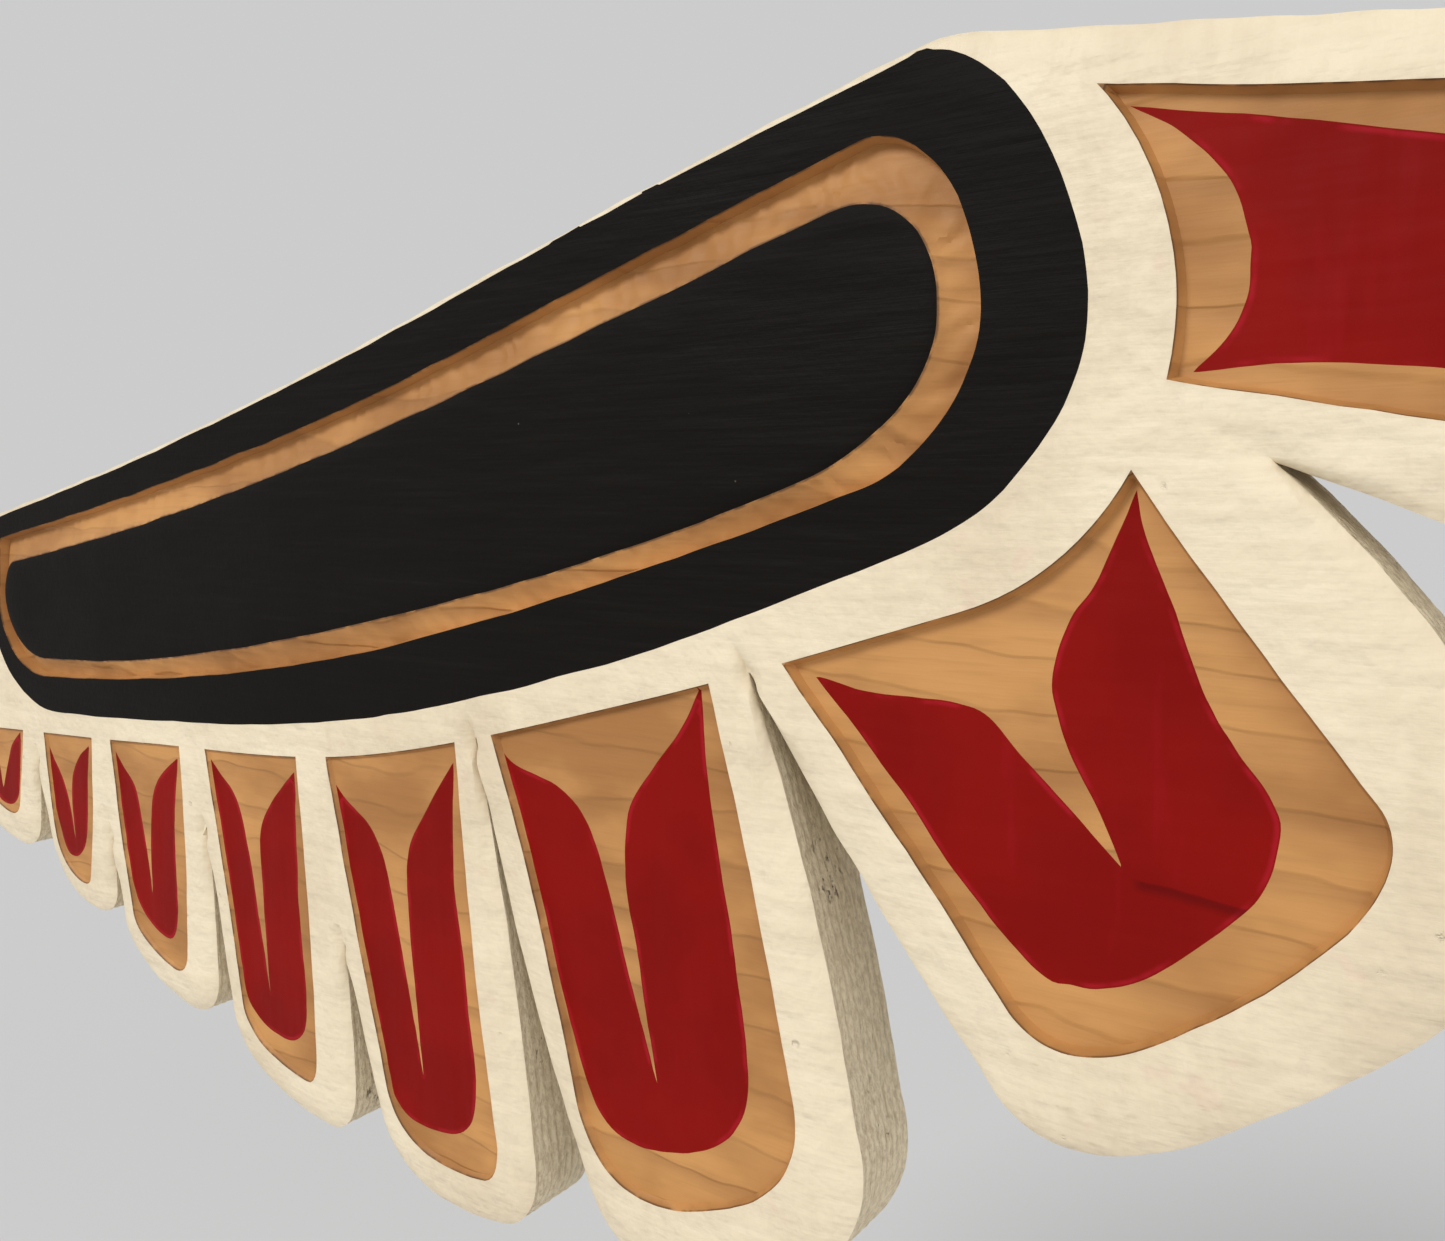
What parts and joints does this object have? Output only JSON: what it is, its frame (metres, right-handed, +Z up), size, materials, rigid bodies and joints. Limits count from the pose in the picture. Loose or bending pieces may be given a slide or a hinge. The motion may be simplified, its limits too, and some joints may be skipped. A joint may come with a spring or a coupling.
{
  "type": "carved wooden totem pole wing",
  "caption": "Carved, painted wooden wing of a model totem pole: feathers with raised white rims hang from a long tapering black arm.",
  "frame": {"origin": "on the flat root cut where the wing joins its pole, halfway through the board's thickness", "axes": "+X along the wing from the root cut to the tip, -Y out of the carved front, +Y out of the flat back, +Z up"},
  "size_m": [0.4393, 0.019, 0.2192],
  "materials": {
    "painted_wood": "matte paint on carved cedar"
  },
  "bodies": {
    "root": {"wing": "painted_wood"}
  },
  "joints": []
}
